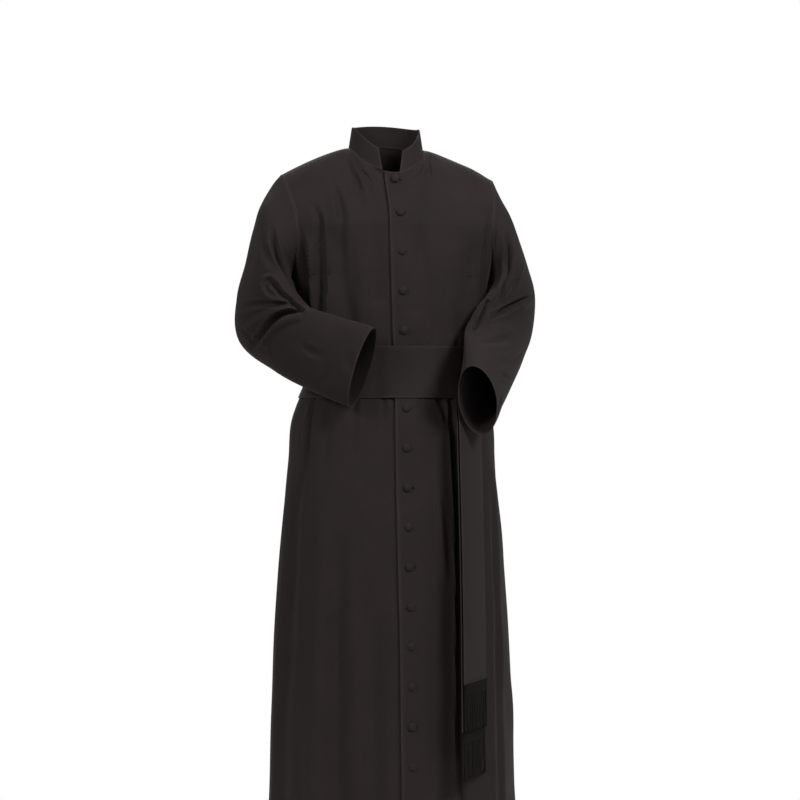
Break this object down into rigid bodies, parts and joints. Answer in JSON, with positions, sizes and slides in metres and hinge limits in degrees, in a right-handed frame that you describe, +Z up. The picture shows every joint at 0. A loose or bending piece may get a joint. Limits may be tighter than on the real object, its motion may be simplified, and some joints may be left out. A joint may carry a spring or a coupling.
{
  "type": "cassock",
  "caption": "Full-length worn cassock with standing notched collar, covered-button front, long wide sleeves and a fringed band cincture, hollow and open at neck, cuffs and hem.",
  "frame": {"origin": "middle of the neck, level with the tops of the shoulder seams, where the wearer's shoulders hold the garment", "axes": "+Z up along the garment's length, front facing -Y, wearer's left +X"},
  "size_m": [0.614, 0.4507, 1.5711],
  "materials": {
    "cassock_cloth": "matte plain-woven suiting with a soft sheen",
    "button_cloth": "matte cloth stretched over a dome",
    "sash_cloth": "matte faille with a soft sheen",
    "fringe_thread": "matte twisted thread"
  },
  "bodies": {
    "root": {"front_right": "cassock_cloth", "front_left": "cassock_cloth", "back": "cassock_cloth", "sleeve_right": "cassock_cloth", "sleeve_left": "cassock_cloth", "collar": "cassock_cloth", "button_01": "button_cloth", "button_02": "button_cloth", "button_03": "button_cloth", "button_04": "button_cloth", "button_05": "button_cloth", "button_06": "button_cloth", "button_07": "button_cloth", "button_08": "button_cloth", "button_09": "button_cloth", "button_10": "button_cloth", "button_11": "button_cloth", "button_12": "button_cloth", "button_13": "button_cloth", "button_14": "button_cloth", "button_15": "button_cloth", "button_16": "button_cloth", "button_17": "button_cloth", "button_18": "button_cloth", "cincture_band": "sash_cloth", "sash_tail_front": "sash_cloth", "sash_tail_rear": "sash_cloth", "fringe_front": "fringe_thread", "fringe_rear": "fringe_thread"}
  },
  "joints": []
}
